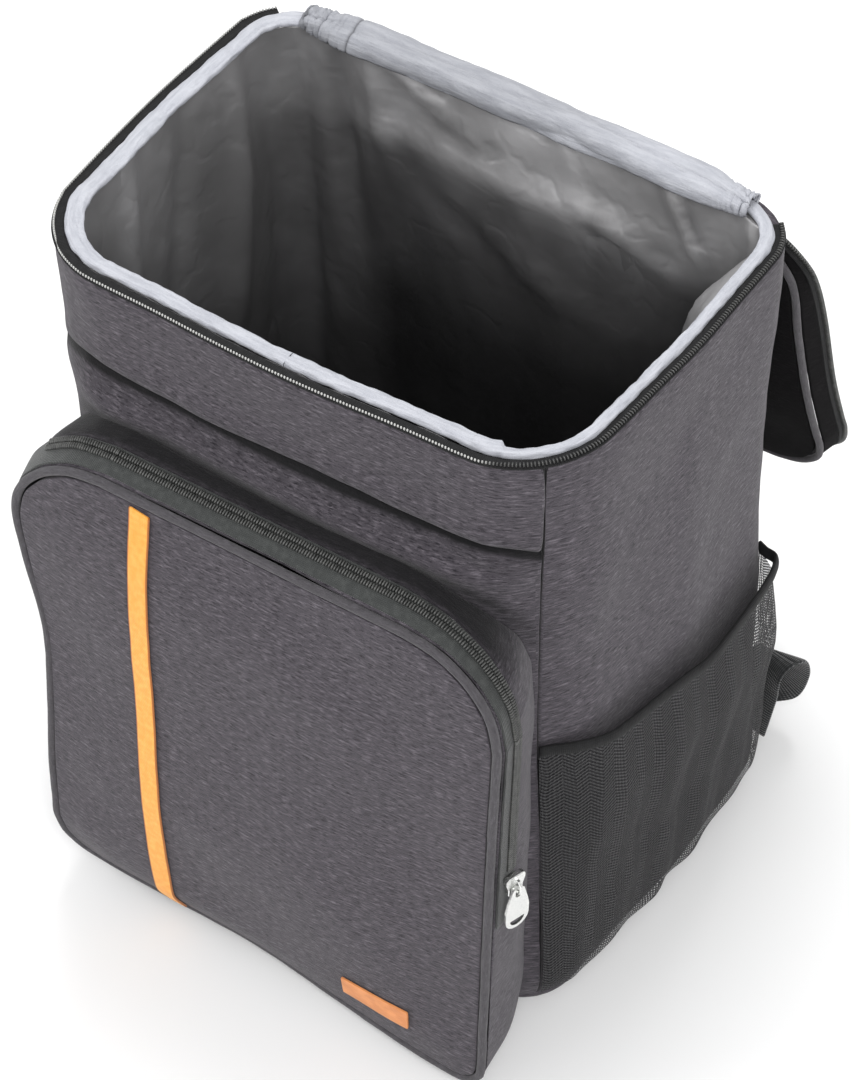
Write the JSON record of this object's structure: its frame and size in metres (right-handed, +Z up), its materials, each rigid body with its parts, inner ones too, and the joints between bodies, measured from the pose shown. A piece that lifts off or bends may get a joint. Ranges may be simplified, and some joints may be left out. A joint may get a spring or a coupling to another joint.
{
  "type": "cooler backpack",
  "caption": "Open insulated backpack with padded walls, foil liner, zipped front pocket, net side pockets, folded-back lid and two shoulder straps.",
  "frame": {"origin": "centre of the base, at the ground", "axes": "+Z up, -Y towards the front pocket, +X to the wearer's left side, which holds the pocket's slider"},
  "size_m": [0.3116, 0.3272, 0.3805],
  "materials": {
    "charcoal_fabric": "matt melange weave",
    "black_trim": "matt black tape, coil, net and webbing",
    "silver_foil": "satin silver film",
    "pale_binding": "satin pale grey cloth",
    "orange_webbing": "fine ribbed webbing",
    "tan_patch": "smooth, bare",
    "bright_metal": "polished"
  },
  "bodies": {
    "bag": {"back_panel": "charcoal_fabric", "base_panel": "charcoal_fabric", "front_panel": "charcoal_fabric", "front_yoke": "charcoal_fabric", "hinge_flap": "pale_binding", "label_patch": "tan_patch", "lid_gusset": "charcoal_fabric", "lid_liner": "silver_foil", "lid_panel": "charcoal_fabric", "lid_piping": "charcoal_fabric", "lid_zip_tape": "black_trim", "lid_zip_teeth": "black_trim", "liner": "silver_foil", "net_hem_left": "black_trim", "net_hem_right": "black_trim", "net_pocket_left": "black_trim", "net_pocket_right": "black_trim", "pocket_gusset": "charcoal_fabric", "pocket_panel": "charcoal_fabric", "pocket_piping": "charcoal_fabric", "pocket_zip_slider": "bright_metal", "pocket_zip_tape": "black_trim", "pocket_zip_teeth": "black_trim", "rim_binding": "pale_binding", "rim_zip_tape": "black_trim", "rim_zip_teeth": "black_trim", "shoulder_strap_left": "charcoal_fabric", "shoulder_strap_right": "charcoal_fabric", "side_panel_left": "charcoal_fabric", "side_panel_right": "charcoal_fabric", "strap_buckle_left": "black_trim", "strap_buckle_right": "black_trim", "strap_webbing_left": "black_trim", "strap_webbing_right": "black_trim", "stripe": "orange_webbing"},
    "pull_tab": {"pocket_zip_pull": "bright_metal"}
  },
  "joints": [
    {"name": "pull_tab_hinge", "type": "hinge", "parent": "bag", "child": "pull_tab", "pos_m": [0.13625, -0.12974, 0.15462], "axis": [-0.3086, -0.9498, 0.0511], "range_deg": [0, 150]}
  ]
}
